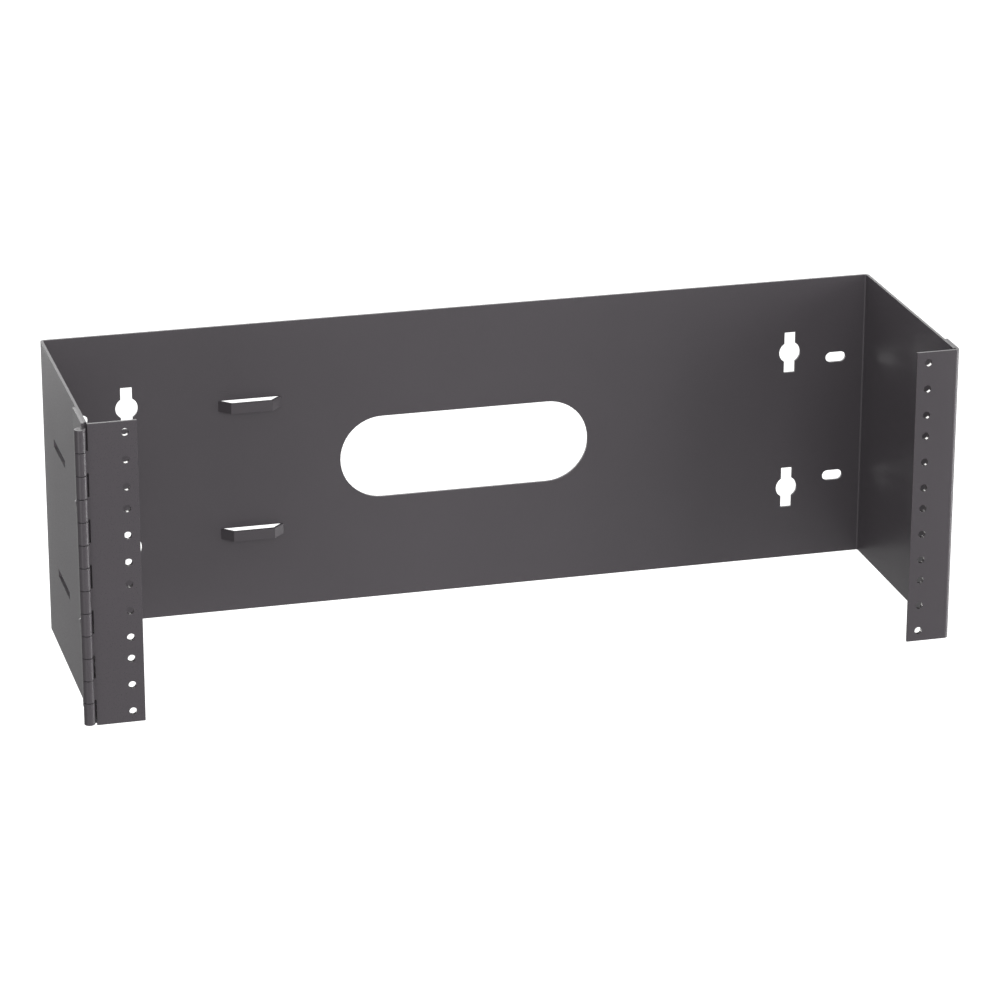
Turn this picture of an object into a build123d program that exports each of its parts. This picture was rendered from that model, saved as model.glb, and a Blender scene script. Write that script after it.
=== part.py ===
import os
from math import radians, tan

from build123d import *

# A four unit wall rack: a folded wall bracket with a hinged rail on its left wing
# and a fixed rail on its right wing.
# The origin is the middle of the wall face. X runs to the right, Y into the wall
# and Z up, so everything lies in front of the wall at negative Y.

# Nineteen inch rack pattern: two wide steps and a narrow one make a rack unit
hole_step_wide = 15.875
hole_step_narrow = 12.7
unit_count = 4
column_spacing = 465.1

# Wall bracket, one folded sheet
bracket_sheet = 1.6
bracket_bend = 1.2
rail_face_depth = 151.8

# Rails and hinge leaf
rail_sheet = 1.6
rail_bend = 1.4
rail_standoff = 1.8
hole_to_inner_edge = 6.85
hole_to_outer_face = 19.25
hole_to_pin = 24.95
fixed_rail_leg = 21.0
leaf_depth = 28.0

# Rail holes at the inside diameter of a 12-24 thread
rail_hole_dia = 4.4

# Piano hinge between the left wing and the swinging rail
pin_dia = 2.9
pin_clearance = 0.05
knuckle_count = 13
knuckle_gap = 0.4
barrel_margin = 1.8
curl_seam = 0.3
leaf_relief = 0.4
rail_relief = 1.3
pin_end_chamfer = 0.2

# Wall fixing holes and cable openings in the back panel
oval_width = 152.4
oval_height = 50.8
keyhole_dia = 13.3
keyhole_slot_width = 7.0
keyhole_slot_height = 25.5
keyhole_inset = 49.1
keyhole_z = 43.4
wall_slot_length = 12.7
wall_slot_width = 6.4
wall_slot_inset = 19.7
wall_slot_z = 38.1

# Lanced bridges for cable ties, left of the oval opening
bridge_x = -130.2
bridge_z = 39.9
bridge_length = 37.8
bridge_width = 6.3
bridge_rise = 6.5
bridge_slope = 45
lance_gap = 0.1

# Strap slots in the left wing
strap_slot_length = 38.1
strap_slot_width = 4.8
strap_slot_depth = 58.8
strap_slot_z = 39.7

# Rivets that hold the hinge leaf and the fixed rail to the wings
rivet_shank_dia = 4.0
rivet_fit = 0.05
rivet_head_dia = 8.0
rivet_head_height = 2.2
rivet_head_chamfer = 0.6
rivet_tail_dia = 6.6
rivet_tail_height = 1.5
rivet_z = 35.0
leaf_rivet_inset = 12.5
rail_rivet_inset = 8.5

# Planes and lines shared by the pieces
rack_height = unit_count * (2 * hole_step_wide + hole_step_narrow)
bottom_plane = Plane.XY.offset(-rack_height / 2)
knuckle_bore = pin_dia / 2 + pin_clearance
knuckle_radius = knuckle_bore + rail_sheet
pin_to_side_face = hole_to_pin + column_spacing + hole_to_outer_face
wing_outer = (pin_to_side_face - knuckle_radius - rail_sheet) / 2
wing_inner = wing_outer - bracket_sheet
side_face = wing_outer + rail_sheet
rail_front = -rail_face_depth
rail_back = rail_front + rail_sheet
wing_front = rail_back + rail_standoff
pin_x = -wing_outer - knuckle_radius
pin_y = rail_back - knuckle_radius
knuckle_pitch = (rack_height - 2 * barrel_margin) / knuckle_count
knuckle_length = knuckle_pitch - knuckle_gap
barrel_half = (knuckle_count * knuckle_pitch - knuckle_gap) / 2
fixed_column_x = side_face - hole_to_outer_face
swing_column_x = pin_x + hole_to_pin
keyhole_x = wing_outer - keyhole_inset
wall_slot_x = wing_outer - wall_slot_inset
leaf_front = rail_back + leaf_relief
leaf_back = leaf_front + leaf_depth
fixed_rail_back = rail_front + fixed_rail_leg
leaf_rivet_y = leaf_back - leaf_rivet_inset
rail_rivet_y = fixed_rail_back - rail_rivet_inset
rivet_hole_dia = rivet_shank_dia + 2 * rivet_fit


def rack_hole_places(column_x):
    # Three holes to each unit, from the top hole down
    places = []
    height = rack_height / 2 - hole_step_narrow / 2
    for _ in range(unit_count):
        for step in (hole_step_wide, hole_step_wide, hole_step_narrow):
            places.append((column_x, height))
            height -= step
    return places


def knuckle_base(index):
    return -barrel_half + index * knuckle_pitch


def curl_section(strip_length):
    # A rolled knuckle seen along the pin. The strip leaves along +X, flush with the
    # top of the barrel, and the rolled edge stops short of it at the seam.
    with BuildSketch() as section:
        Circle(knuckle_radius)
        Circle(knuckle_bore, mode=Mode.SUBTRACT)
        with Locations((0, knuckle_bore - curl_seam)):
            Rectangle(knuckle_radius, curl_seam, align=Align.MIN, mode=Mode.SUBTRACT)
        with Locations((0, knuckle_bore)):
            Rectangle(strip_length, rail_sheet, align=Align.MIN)
    return section.sketch


def rivet_pair(side, depth):
    # Two rivets along X, chamfered flat heads outside and formed tails inside the wing.
    # side is 1 on the right wing and -1 on the left one.
    head_face = side * side_face
    head_rim = side * (side_face + rivet_head_height - rivet_head_chamfer)
    head_top = side * (side_face + rivet_head_height)
    tail_face = side * wing_inner
    tail_top = side * (wing_inner - rivet_tail_height)
    head_edge = depth + rivet_head_dia / 2
    shank_edge = depth + rivet_shank_dia / 2
    tail_edge = depth + rivet_tail_dia / 2
    with BuildPart() as pair:
        for height in (-rivet_z, rivet_z):
            with BuildSketch(Plane.XY.offset(height)):
                with BuildLine():
                    Polyline(
                        (head_rim, head_edge),
                        (head_top, head_edge - rivet_head_chamfer),
                        (head_top, depth),
                        (tail_top, depth),
                        (tail_top, tail_edge),
                        (tail_face, tail_edge),
                        (tail_face, shank_edge),
                        (head_face, shank_edge),
                        (head_face, head_edge),
                        (head_rim, head_edge),
                    )
                make_face()
            revolve(axis=Axis((0, depth, height), (1, 0, 0)))
    return pair.part


# The wall bracket: back panel and two wings folded from one sheet
with BuildPart() as wall_bracket:
    with BuildSketch(bottom_plane):
        with BuildLine():
            FilletPolyline(
                (-wing_outer, wing_front),
                (-wing_outer, 0),
                (wing_outer, 0),
                (wing_outer, wing_front),
                radius=bracket_bend + bracket_sheet,
            )
            offset(amount=bracket_sheet, side=Side.RIGHT)
        make_face()
    extrude(amount=rack_height)

    # Oval cable opening in the middle
    with BuildSketch(Plane.XZ):
        SlotOverall(oval_width, oval_height)
    extrude(amount=bracket_sheet, mode=Mode.SUBTRACT)

    # Keyholes that open both upwards and downwards
    with BuildSketch(Plane.XZ):
        with GridLocations(2 * keyhole_x, 2 * keyhole_z, 2, 2):
            Circle(keyhole_dia / 2)
            Rectangle(keyhole_slot_width, keyhole_slot_height)
    extrude(amount=bracket_sheet, mode=Mode.SUBTRACT)

    # Short level slots beside the wings
    with BuildSketch(Plane.XZ):
        with GridLocations(2 * wall_slot_x, 2 * wall_slot_z, 2, 2):
            SlotOverall(wall_slot_length, wall_slot_width)
    extrude(amount=bracket_sheet, mode=Mode.SUBTRACT)

    # Lanced bridges: the panel is slit above and below each strap, which is pushed forward
    with BuildSketch(Plane.XZ):
        with Locations((bridge_x, 0)):
            with GridLocations(0, 2 * bridge_z, 1, 2):
                Rectangle(bridge_length, bridge_width + 2 * lance_gap)
    extrude(amount=bracket_sheet, mode=Mode.SUBTRACT)
    bridge_left = bridge_x - bridge_length / 2
    bridge_right = bridge_x + bridge_length / 2
    slope_run = bridge_rise / tan(radians(bridge_slope))
    fold_back = bracket_sheet * tan(radians(bridge_slope / 2))
    for strap_middle in (-bridge_z, bridge_z):
        with BuildSketch(Plane.XY.offset(strap_middle)):
            with BuildLine():
                Polyline(
                    (bridge_left, 0),
                    (bridge_left, -bracket_sheet),
                    (bridge_left + slope_run, -bracket_sheet - bridge_rise),
                    (bridge_right - slope_run, -bracket_sheet - bridge_rise),
                    (bridge_right, -bracket_sheet),
                    (bridge_right, 0),
                    (bridge_right - fold_back, 0),
                    (bridge_right - fold_back - slope_run, -bridge_rise),
                    (bridge_left + fold_back + slope_run, -bridge_rise),
                    (bridge_left + fold_back, 0),
                    close=True,
                )
            make_face()
        extrude(amount=bridge_width / 2, both=True)

    # Strap slots in the left wing
    with BuildSketch(Plane.YZ.offset(-wing_outer)):
        with Locations((-strap_slot_depth, 0)):
            with GridLocations(0, 2 * strap_slot_z, 1, 2):
                Rectangle(strap_slot_length, strap_slot_width)
    extrude(amount=bracket_sheet, mode=Mode.SUBTRACT)

    # Rivet holes near the front edge of each wing
    with BuildSketch(Plane.YZ.offset(-wing_outer)):
        with Locations((leaf_rivet_y, 0)):
            with GridLocations(0, 2 * rivet_z, 1, 2):
                Circle(rivet_hole_dia / 2)
    extrude(amount=bracket_sheet, mode=Mode.SUBTRACT)
    with BuildSketch(Plane.YZ.offset(wing_inner)):
        with Locations((rail_rivet_y, 0)):
            with GridLocations(0, 2 * rivet_z, 1, 2):
                Circle(rivet_hole_dia / 2)
    extrude(amount=bracket_sheet, mode=Mode.SUBTRACT)

# The hinge leaf on the outside of the left wing, rolled into every other knuckle
leaf_curl = mirror(curl_section(leaf_front - pin_y), about=Plane((0, 0, 0), z_dir=(1, -1, 0)))
with BuildPart() as hinge_leaf:
    with BuildSketch(bottom_plane):
        with Locations((-side_face, leaf_front)):
            Rectangle(rail_sheet, leaf_depth, align=Align.MIN)
    extrude(amount=rack_height)
    for index in range(0, knuckle_count, 2):
        with BuildSketch(Plane.XY.offset(knuckle_base(index))):
            with Locations((pin_x, pin_y)):
                add(leaf_curl)
        extrude(amount=knuckle_length)
    with BuildSketch(Plane.YZ.offset(-side_face)):
        with Locations((leaf_rivet_y, 0)):
            with GridLocations(0, 2 * rivet_z, 1, 2):
                Circle(rivet_hole_dia / 2)
    extrude(amount=rail_sheet, mode=Mode.SUBTRACT)

# The swinging rail, a flat strip rolled into the knuckles between those of the leaf
swing_rail_left = pin_x + knuckle_radius + rail_relief
swing_rail_right = swing_column_x + hole_to_inner_edge
rail_curl = curl_section(swing_rail_left - pin_x)
with BuildPart() as swing_rail:
    with BuildSketch(bottom_plane):
        with Locations((swing_rail_left, rail_front)):
            Rectangle(swing_rail_right - swing_rail_left, rail_sheet, align=Align.MIN)
    extrude(amount=rack_height)
    for index in range(1, knuckle_count, 2):
        with BuildSketch(Plane.XY.offset(knuckle_base(index))):
            with Locations((pin_x, pin_y)):
                add(rail_curl)
        extrude(amount=knuckle_length)
    with BuildSketch(Plane.XZ.offset(-rail_back)):
        with Locations(rack_hole_places(swing_column_x)):
            Circle(rail_hole_dia / 2)
    extrude(amount=rail_sheet, mode=Mode.SUBTRACT)

# The fixed rail, an angle whose leg lies on the outside of the right wing
with BuildPart() as fixed_rail:
    with BuildSketch(bottom_plane):
        with BuildLine():
            FilletPolyline(
                (fixed_column_x - hole_to_inner_edge, rail_front),
                (side_face, rail_front),
                (side_face, fixed_rail_back),
                radius=rail_bend + rail_sheet,
            )
            offset(amount=rail_sheet, side=Side.LEFT)
        make_face()
    extrude(amount=rack_height)
    with BuildSketch(Plane.XZ.offset(-rail_back)):
        with Locations(rack_hole_places(fixed_column_x)):
            Circle(rail_hole_dia / 2)
    extrude(amount=rail_sheet, mode=Mode.SUBTRACT)
    with BuildSketch(Plane.YZ.offset(wing_outer)):
        with Locations((rail_rivet_y, 0)):
            with GridLocations(0, 2 * rivet_z, 1, 2):
                Circle(rivet_hole_dia / 2)
    extrude(amount=rail_sheet, mode=Mode.SUBTRACT)

# The hinge pin, cut off flush with the end knuckles
with BuildPart() as hinge_pin:
    with Locations((pin_x, pin_y, 0)):
        Cylinder(pin_dia / 2, 2 * barrel_half)
    chamfer(hinge_pin.edges().filter_by(GeomType.CIRCLE), pin_end_chamfer)

# Four like rivets: two through the hinge leaf on the left, two through the fixed rail on the right
with BuildPart() as rivets:
    add(rivet_pair(-1, leaf_rivet_y))
    add(rivet_pair(1, rail_rivet_y))

os.makedirs("parts", exist_ok=True)
wall_bracket.part.label = "wall_bracket"
export_step(wall_bracket.part, "parts/wall_bracket.step")
hinge_leaf.part.label = "hinge_leaf"
export_step(hinge_leaf.part, "parts/hinge_leaf.step")
swing_rail.part.label = "swing_rail"
export_step(swing_rail.part, "parts/swing_rail.step")
fixed_rail.part.label = "fixed_rail"
export_step(fixed_rail.part, "parts/fixed_rail.step")
hinge_pin.part.label = "hinge_pin"
export_step(hinge_pin.part, "parts/hinge_pin.step")
rivets.part.label = "rivets"
export_step(rivets.part, "parts/rivets.step")
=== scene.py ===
import math

import bpy
from mathutils import Matrix, Vector


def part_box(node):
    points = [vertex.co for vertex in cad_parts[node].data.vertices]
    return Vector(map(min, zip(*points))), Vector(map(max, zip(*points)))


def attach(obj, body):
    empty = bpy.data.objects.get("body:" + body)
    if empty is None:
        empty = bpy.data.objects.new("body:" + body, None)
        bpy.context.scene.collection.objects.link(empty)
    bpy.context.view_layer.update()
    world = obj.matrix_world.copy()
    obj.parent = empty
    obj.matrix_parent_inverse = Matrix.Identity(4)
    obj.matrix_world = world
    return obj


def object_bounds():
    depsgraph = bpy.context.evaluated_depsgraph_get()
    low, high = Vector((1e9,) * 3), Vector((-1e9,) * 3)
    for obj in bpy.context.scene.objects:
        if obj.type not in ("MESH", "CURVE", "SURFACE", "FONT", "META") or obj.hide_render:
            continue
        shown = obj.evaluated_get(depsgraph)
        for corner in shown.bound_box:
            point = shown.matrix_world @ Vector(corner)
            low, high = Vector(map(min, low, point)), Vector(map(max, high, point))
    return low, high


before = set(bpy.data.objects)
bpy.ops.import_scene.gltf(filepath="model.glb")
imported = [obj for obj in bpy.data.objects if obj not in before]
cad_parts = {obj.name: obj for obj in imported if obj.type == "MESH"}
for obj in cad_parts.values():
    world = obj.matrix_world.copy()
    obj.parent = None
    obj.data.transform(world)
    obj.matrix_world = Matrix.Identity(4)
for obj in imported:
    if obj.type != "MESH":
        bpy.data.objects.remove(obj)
cadLow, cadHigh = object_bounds()
print("frame loaded:", ", ".join(sorted(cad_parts)))

mm = 0.001


def linearColour(hexCode):
    # sRGB hex to the linear values that Blender's sockets take
    values = []
    for start in (1, 3, 5):
        share = int(hexCode[start:start + 2], 16) / 255
        values.append(share / 12.92 if share <= 0.04045 else ((share + 0.055) / 1.055) ** 2.4)
    return (*values, 1.0)


def addNode(tree, kind, settings=None, links=None):
    # One node with its settings, either sockets or properties, and its incoming links
    node = tree.nodes.new(kind)
    for name, value in (settings or {}).items():
        if isinstance(name, str) and hasattr(node, name):
            setattr(node, name, value)
        else:
            node.inputs[name].default_value = value
    for name, source in (links or {}).items():
        tree.links.new(source, node.inputs[name])
    return node


def newMaterial(name):
    material = bpy.data.materials.new(name)
    material.use_nodes = True
    material.node_tree.nodes.clear()
    return material, material.node_tree


def powderCoatedSteel(name, coat):
    # Polyester powder coat, sprayed dry and baked: a satin skin with a faint orange peel,
    # slightly uneven in tone where the powder lay thicker. Real powder grain is finer than
    # a pixel, so the grit is drawn coarser here.
    material, tree = newMaterial(name)
    place = addNode(tree, "ShaderNodeTexCoord").outputs["Object"]
    peel = addNode(tree, "ShaderNodeTexNoise", {
        "Scale": 1 / (coat["peelMm"] * mm), "Detail": 2.0, "Roughness": 0.45}, {"Vector": place})
    grit = addNode(tree, "ShaderNodeTexNoise", {
        "Scale": 1 / (coat["gritMm"] * mm), "Detail": 1.0, "Roughness": 0.6}, {"Vector": place})
    drift = addNode(tree, "ShaderNodeTexNoise", {
        "Scale": 1 / (coat["driftMm"] * mm), "Detail": 3.0, "Roughness": 0.5}, {"Vector": place})
    tone = addNode(tree, "ShaderNodeMix", {
        "data_type": "RGBA", 6: linearColour(coat["thinHex"]), 7: linearColour(coat["thickHex"])},
        {0: drift.outputs["Fac"]})
    # Noise gathers round its middle, so the ranges start from that part alone
    fleck = addNode(tree, "ShaderNodeMapRange", {
        "From Min": 0.35, "From Max": 0.65,
        "To Min": 1 - coat["fleck"], "To Max": 1 + coat["fleck"]},
        {"Value": grit.outputs["Fac"]})
    colour = addNode(tree, "ShaderNodeHueSaturation", {}, {
        "Color": tone.outputs[2], "Value": fleck.outputs["Result"]})
    rough = addNode(tree, "ShaderNodeMapRange", {
        "From Min": 0.3, "From Max": 0.7,
        "To Min": coat["roughLow"], "To Max": coat["roughHigh"]},
        {"Value": grit.outputs["Fac"]})
    peelBump = addNode(tree, "ShaderNodeBump", {
        "Strength": 1.0, "Distance": coat["peelHeightMm"] * mm}, {"Height": peel.outputs["Fac"]})
    gritBump = addNode(tree, "ShaderNodeBump", {
        "Strength": 1.0, "Distance": coat["gritHeightMm"] * mm},
        {"Height": grit.outputs["Fac"], "Normal": peelBump.outputs["Normal"]})
    skin = addNode(tree, "ShaderNodeBsdfPrincipled", {"Metallic": 0.0, "IOR": coat["ior"]}, {
        "Base Color": colour.outputs["Color"], "Roughness": rough.outputs["Result"],
        "Normal": gritBump.outputs["Normal"]})
    addNode(tree, "ShaderNodeOutputMaterial", {}, {"Surface": skin.outputs["BSDF"]})
    return material


# Every piece wears the same dark grey powder; the curled ones take it a little smoother.
# The fixed rail's darker tone is painted shade, and the hinge leaf's lighter tone is painted
# light.
folded = {"thinHex": "#4b474b", "thickHex": "#504c50", "peelMm": 1.6, "gritMm": 0.45,
          "driftMm": 70, "fleck": 0.025, "roughLow": 0.32, "roughHigh": 0.42,
          "peelHeightMm": 0.005, "gritHeightMm": 0.003, "ior": 1.5}
curled = {**folded, "fleck": 0.012, "roughLow": 0.27, "roughHigh": 0.31,
          "peelHeightMm": 0.0015, "gritHeightMm": 0.0004}
coats = {
    "wall_bracket": folded,
    # Darker tone on the fixed rail: painted shade
    "fixed_rail": {**folded, "thinHex": "#454145", "thickHex": "#4a464a"},
    "swing_rail": curled,
    # Lighter tone on the hinge leaf: painted light
    "hinge_leaf": {**curled, "thinHex": "#4d494d", "thickHex": "#524e52"},
    "hinge_pin": {**folded, "peelMm": 0.9, "roughLow": 0.28, "roughHigh": 0.36},
    "rivets": {**folded, "peelMm": 0.9, "roughLow": 0.3, "roughHigh": 0.36},
}
coatOf = {}
for nodeName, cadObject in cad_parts.items():
    coatOf[nodeName] = powderCoatedSteel("powderCoat_" + nodeName, coats[nodeName])
    cadObject.data.materials.clear()
    cadObject.data.materials.append(coatOf[nodeName])
print("materials done")


def onlySelect(piece):
    bpy.ops.object.select_all(action="DESELECT")
    piece.select_set(True)
    bpy.context.view_layer.objects.active = piece


# The softened edge that the powder leaves, with its width on each piece
easing = {
    "widthMm": {
        "wall_bracket": 0.25,
        "hinge_leaf": 0.18,
        "swing_rail": 0.18,
        "fixed_rail": 0.2,
        "hinge_pin": 0.1,
        "rivets": 0.09,
    },
    "segments": 2,
    "sharpDeg": 35,
    "flatDeg": 0.5,
    "weldMm": 0.002,
}


def easeEdges(piece, widthMm):
    # Powder never leaves a sharp corner: every edge gets a narrow rounded strip. Flat faces are
    # merged first, so that the strip's smooth shading shows no diagonals across them.
    onlySelect(piece)
    bpy.ops.mesh.customdata_custom_splitnormals_clear()
    bpy.ops.object.shade_smooth()
    weld = piece.modifiers.new("weldFacets", "WELD")
    weld.merge_threshold = easing["weldMm"] * mm
    flat = piece.modifiers.new("flatFaces", "DECIMATE")
    flat.decimate_type = "DISSOLVE"
    flat.angle_limit = math.radians(easing["flatDeg"])
    bevel = piece.modifiers.new("powderEdge", "BEVEL")
    bevel.width = widthMm * mm
    bevel.segments = easing["segments"]
    bevel.limit_method = "ANGLE"
    bevel.angle_limit = math.radians(easing["sharpDeg"])
    bevel.harden_normals = True
    bevel.miter_outer = "MITER_ARC"


for nodeName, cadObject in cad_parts.items():
    easeEdges(cadObject, easing["widthMm"][nodeName])
print("edges done")

# Rack pattern: three holes to a unit, in a column beside each rail's inner edge
rackHoles = {
    "wideStepMm": 15.875,
    "narrowStepMm": 12.7,
    "units": 4,
    "innerEdgeMm": 6.85,
    "sheetMm": 1.6,
}


def rackHoleHeights():
    # From the top hole down, about the middle of the rail
    heights = []
    height = (rackHoles["units"] * (2 * rackHoles["wideStepMm"] + rackHoles["narrowStepMm"])
              - rackHoles["narrowStepMm"]) / 2
    for _ in range(rackHoles["units"]):
        for step in (rackHoles["wideStepMm"], rackHoles["wideStepMm"], rackHoles["narrowStepMm"]):
            heights.append(height * mm)
            height -= step
    return heights


# The tapped rail holes are drawn out into a short collar behind the rail
collar = {
    "boreMm": 4.4,
    "outerMm": 6.0,
    "heightMm": 1.1,
    "rimEaseMm": 0.15,
    "sides": 48,
    "smoothDeg": 50,
}


def growRing(centre, shift, share):
    # The selected ring of edges is drawn on by shift along Y and scaled about its own axis
    bpy.ops.mesh.extrude_region_move(TRANSFORM_OT_translate={"value": (0, shift, 0)})
    bpy.ops.transform.resize(value=(share, 1, share), center_override=centre)


def closeRings():
    # The first and the last ring are joined, which leaves one closed ring-shaped body
    bpy.ops.mesh.select_mode(type="EDGE")
    bpy.ops.mesh.select_all(action="DESELECT")
    bpy.ops.mesh.select_non_manifold()
    bpy.ops.mesh.bridge_edge_loops()
    bpy.ops.mesh.select_all(action="SELECT")
    bpy.ops.mesh.normals_make_consistent(inside=False)


def startRing(name, radius, place):
    # A ring of edges about the Y axis, open for editing and wholly selected
    bpy.ops.object.select_all(action="DESELECT")
    bpy.ops.mesh.primitive_circle_add(vertices=collar["sides"], radius=radius, fill_type="NOTHING",
                                      location=place, rotation=(math.pi / 2, 0, 0))
    ring = bpy.context.object
    ring.name = name
    bpy.ops.object.transform_apply(location=True, rotation=True, scale=True)
    bpy.ops.object.mode_set(mode="EDIT")
    bpy.ops.mesh.select_all(action="SELECT")
    return ring


def finishRing(ring):
    closeRings()
    bpy.ops.object.mode_set(mode="OBJECT")
    onlySelect(ring)
    bpy.ops.object.shade_smooth_by_angle(angle=math.radians(collar["smoothDeg"]))
    return ring


def drawnCollar(name, columnX, height, railBack):
    # Wall, eased rim and bore of one collar; its foot is sunk a little into the rail
    outer = collar["outerMm"] * mm / 2
    bore = collar["boreMm"] * mm / 2
    ease = collar["rimEaseMm"] * mm
    top = collar["heightMm"] * mm
    centre = Vector((columnX, 0, height))
    ring = startRing(name, outer, (columnX, railBack - ease, height))
    growRing(centre, top, 1)
    growRing(centre, ease, (outer - ease) / outer)
    growRing(centre, 0, (bore + ease) / (outer - ease))
    growRing(centre, -ease, bore / (bore + ease))
    growRing(centre, -top, 1)
    return finishRing(ring)


# The thread is cut after coating, so the bore shows bare steel from just behind the front edge
thread = {
    "crestMm": 4.34,
    "buriedMm": 4.7,
    "pitchMm": 1.058,
    "startMm": 0.22,
    "endShortMm": 0.2,
    "rippleMm": 0.012,
    "smearMm": 0.8,
    "steelHex": "#b9b8b6",
    "roughLow": 0.12,
    "roughHigh": 0.2,
}


def cutThreadSteel(name):
    # Bare tapped steel: bright, with the shallow turns of the thread along the bore. The wave
    # texture counts twenty radians to a unit, hence the tenth of pi.
    material, tree = newMaterial(name)
    place = addNode(tree, "ShaderNodeTexCoord").outputs["Object"]
    turns = addNode(tree, "ShaderNodeTexWave", {
        "wave_type": "BANDS", "bands_direction": "Y", "Distortion": 0.0,
        "Scale": math.pi / 10 / (thread["pitchMm"] * mm)}, {"Vector": place})
    smear = addNode(tree, "ShaderNodeTexNoise", {
        "Scale": 1 / (thread["smearMm"] * mm), "Detail": 2.0, "Roughness": 0.5}, {"Vector": place})
    rough = addNode(tree, "ShaderNodeMapRange", {
        "From Min": 0.3, "From Max": 0.7,
        "To Min": thread["roughLow"], "To Max": thread["roughHigh"]},
        {"Value": smear.outputs["Fac"]})
    ripple = addNode(tree, "ShaderNodeBump", {
        "Strength": 1.0, "Distance": thread["rippleMm"] * mm}, {"Height": turns.outputs["Fac"]})
    steel = addNode(tree, "ShaderNodeBsdfPrincipled", {
        "Base Color": linearColour(thread["steelHex"]), "Metallic": 1.0}, {
        "Roughness": rough.outputs["Result"], "Normal": ripple.outputs["Normal"]})
    addNode(tree, "ShaderNodeOutputMaterial", {}, {"Surface": steel.outputs["BSDF"]})
    return material


def threadedBore(name, columnX, height, frontY, backY):
    # The crests of one thread, with their back buried in the rail and the collar
    centre = Vector((columnX, 0, height))
    ring = startRing(name, thread["crestMm"] * mm / 2, (columnX, frontY, height))
    growRing(centre, backY - frontY, 1)
    growRing(centre, 0, thread["buriedMm"] / thread["crestMm"])
    growRing(centre, frontY - backY, 1)
    return finishRing(ring)


def repeatDown(first, heights, paint, body):
    # One copy a hole down the column, joined into a single piece
    copies = []
    for height in heights[1:]:
        another = first.copy()
        another.data = first.data.copy()
        another.data.transform(Matrix.Translation((0, 0, height - heights[0])))
        bpy.context.scene.collection.objects.link(another)
        copies.append(another)
    onlySelect(first)
    for another in copies:
        another.select_set(True)
    bpy.ops.object.join()
    first.data.materials.clear()
    first.data.materials.append(paint)
    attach(first, body)


def finishRackHoles(nodeName, body, columnX):
    heights = rackHoleHeights()
    railBack = railFront + rackHoles["sheetMm"] * mm
    repeatDown(drawnCollar(nodeName + "_collars", columnX, heights[0], railBack),
               heights, coatOf[nodeName], body)
    repeatDown(threadedBore(nodeName + "_threads", columnX, heights[0],
                            railFront + thread["startMm"] * mm,
                            railBack + (collar["heightMm"] - thread["endShortMm"]) * mm),
               heights, threadPaint, body)


# Both rails share their front plane
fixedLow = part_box("fixed_rail")[0]
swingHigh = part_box("swing_rail")[1]
railFront = fixedLow.y
threadPaint = cutThreadSteel("tappedSteel")
finishRackHoles("fixed_rail", "bracket", fixedLow.x + rackHoles["innerEdgeMm"] * mm)
finishRackHoles("swing_rail", "rail", swingHigh.x - rackHoles["innerEdgeMm"] * mm)
print("rack holes done")

# Studio: a floor far below the rack, four soft lights in front and two cards behind. The left
# wing mirrors the low card; the high one draws the top edges and the glints in the bores.
studio = {
    "floorDrop": 0.9,
    "floorSize": 60.0,
    "floorHex": "#a0a0a0",
    "floorGlow": 0.97,
    "fillStrength": 0.43,
    "lights": {
        "frontSoftbox": {"place": (-0.05, -2.9, 1.0), "size": 1.6, "watts": 33},
        "keySoftbox": {"place": (1.8, -1.9, 0.4), "size": 1.2, "watts": 24},
        "rightPanel": {"place": (2.5, -0.45, -0.35), "size": 1.2, "watts": 34},
        "leftPanel": {"place": (-1.9, -2.1, -0.2), "size": 1.0, "watts": 12},
        "backLeftCard": {"place": (-0.95, 2.9, -0.35), "size": 0.8, "watts": 9.4},
        "backHighCard": {"place": (0.0, 3.0, 1.4), "size": 3.5, "watts": 71},
    },
    "aim": (0, -0.08, 0),
}

# Studio floor, glowing to the camera alone so that it meets the white backdrop
bpy.ops.object.select_all(action="DESELECT")
bpy.ops.mesh.primitive_plane_add(size=studio["floorSize"],
                                 location=(0, 0, cadLow.z - studio["floorDrop"]))
floor = bpy.context.object
floor.name = "studioFloor"
floorPaint, floorTree = newMaterial("paleStudioPaper")
ray = addNode(floorTree, "ShaderNodeLightPath")
paper = addNode(floorTree, "ShaderNodeBsdfDiffuse", {"Color": linearColour(studio["floorHex"])})
glow = addNode(floorTree, "ShaderNodeEmission", {
    "Color": (1, 1, 1, 1), "Strength": studio["floorGlow"]})
together = addNode(floorTree, "ShaderNodeAddShader", {}, {
    0: paper.outputs[0], 1: glow.outputs[0]})
seen = addNode(floorTree, "ShaderNodeMixShader", {}, {
    0: ray.outputs["Is Camera Ray"], 1: paper.outputs[0], 2: together.outputs[0]})
addNode(floorTree, "ShaderNodeOutputMaterial", {}, {"Surface": seen.outputs[0]})
floor.data.materials.append(floorPaint)

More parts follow.
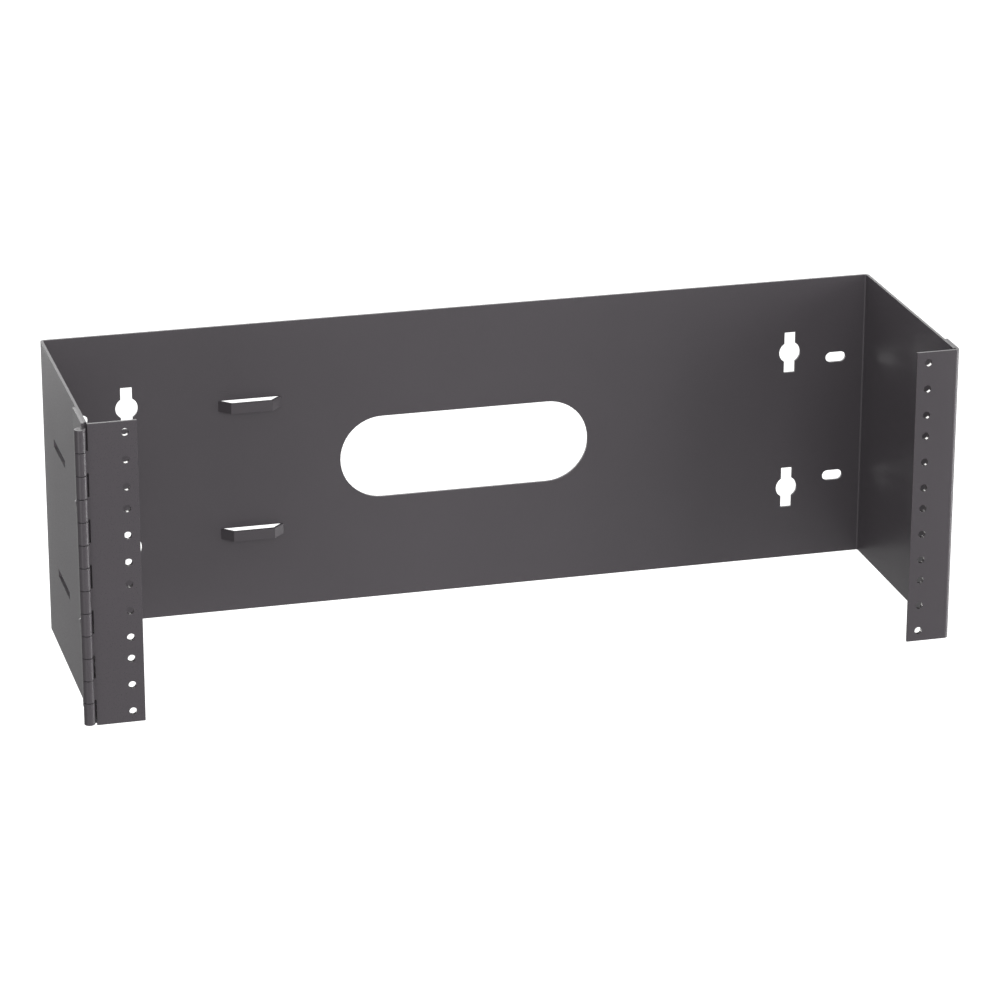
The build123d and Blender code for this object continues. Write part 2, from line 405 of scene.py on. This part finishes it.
for lightName, light in studio["lights"].items():
    lamp = bpy.data.lights.new(lightName, "AREA")
    lamp.shape = "SQUARE"
    lamp.size = light["size"]
    lamp.energy = light["watts"]
    holder = bpy.data.objects.new(lightName, lamp)
    bpy.context.scene.collection.objects.link(holder)
    holder.location = light["place"]
    towards = Vector(studio["aim"]) - Vector(light["place"])
    holder.rotation_euler = towards.to_track_quat("-Z", "Y").to_euler()

# Even fill light, with a white backdrop for the camera
world = bpy.data.worlds.new("softStudio")
bpy.context.scene.world = world
world.use_nodes = True
world.node_tree.nodes.clear()
worldTree = world.node_tree
worldRay = addNode(worldTree, "ShaderNodeLightPath")
fill = addNode(worldTree, "ShaderNodeBackground", {
    "Color": (1, 1, 1, 1), "Strength": studio["fillStrength"]})
white = addNode(worldTree, "ShaderNodeBackground", {"Color": (1, 1, 1, 1), "Strength": 1.0})
either = addNode(worldTree, "ShaderNodeMixShader", {}, {
    0: worldRay.outputs["Is Camera Ray"], 1: fill.outputs[0], 2: white.outputs[0]})
addNode(worldTree, "ShaderNodeOutputWorld", {}, {"Surface": either.outputs[0]})
print("studio done")

# The camera stands to the left and a little above, as a product photographer would place it
photoCamera = {
    "place": Vector((-594.4, -2283.3, 840.9)) * mm,
    "pitchDeg": 90 - 20.327,
    "yawDeg": -15.111,
    "rollDeg": 0.094,
    "lensMm": 150.97,
    "sensorMm": 36.0,
    "clipEnd": 100,
}

cameraData = bpy.data.cameras.new("photoCamera")
cameraData.lens = photoCamera["lensMm"]
cameraData.sensor_width = photoCamera["sensorMm"]
cameraData.clip_end = photoCamera["clipEnd"]
camera = bpy.data.objects.new("photoCamera", cameraData)
bpy.context.scene.collection.objects.link(camera)
camera.location = photoCamera["place"]
yaw = Matrix.Rotation(math.radians(photoCamera["yawDeg"]), 3, "Z")
pitch = Matrix.Rotation(math.radians(photoCamera["pitchDeg"]), 3, "X")
roll = Matrix.Rotation(math.radians(photoCamera["rollDeg"]), 3, "Z")
camera.rotation_euler = (yaw @ pitch @ roll).to_euler()
bpy.context.scene.camera = camera
bpy.context.scene.view_settings.view_transform = "Standard"
print("camera done")
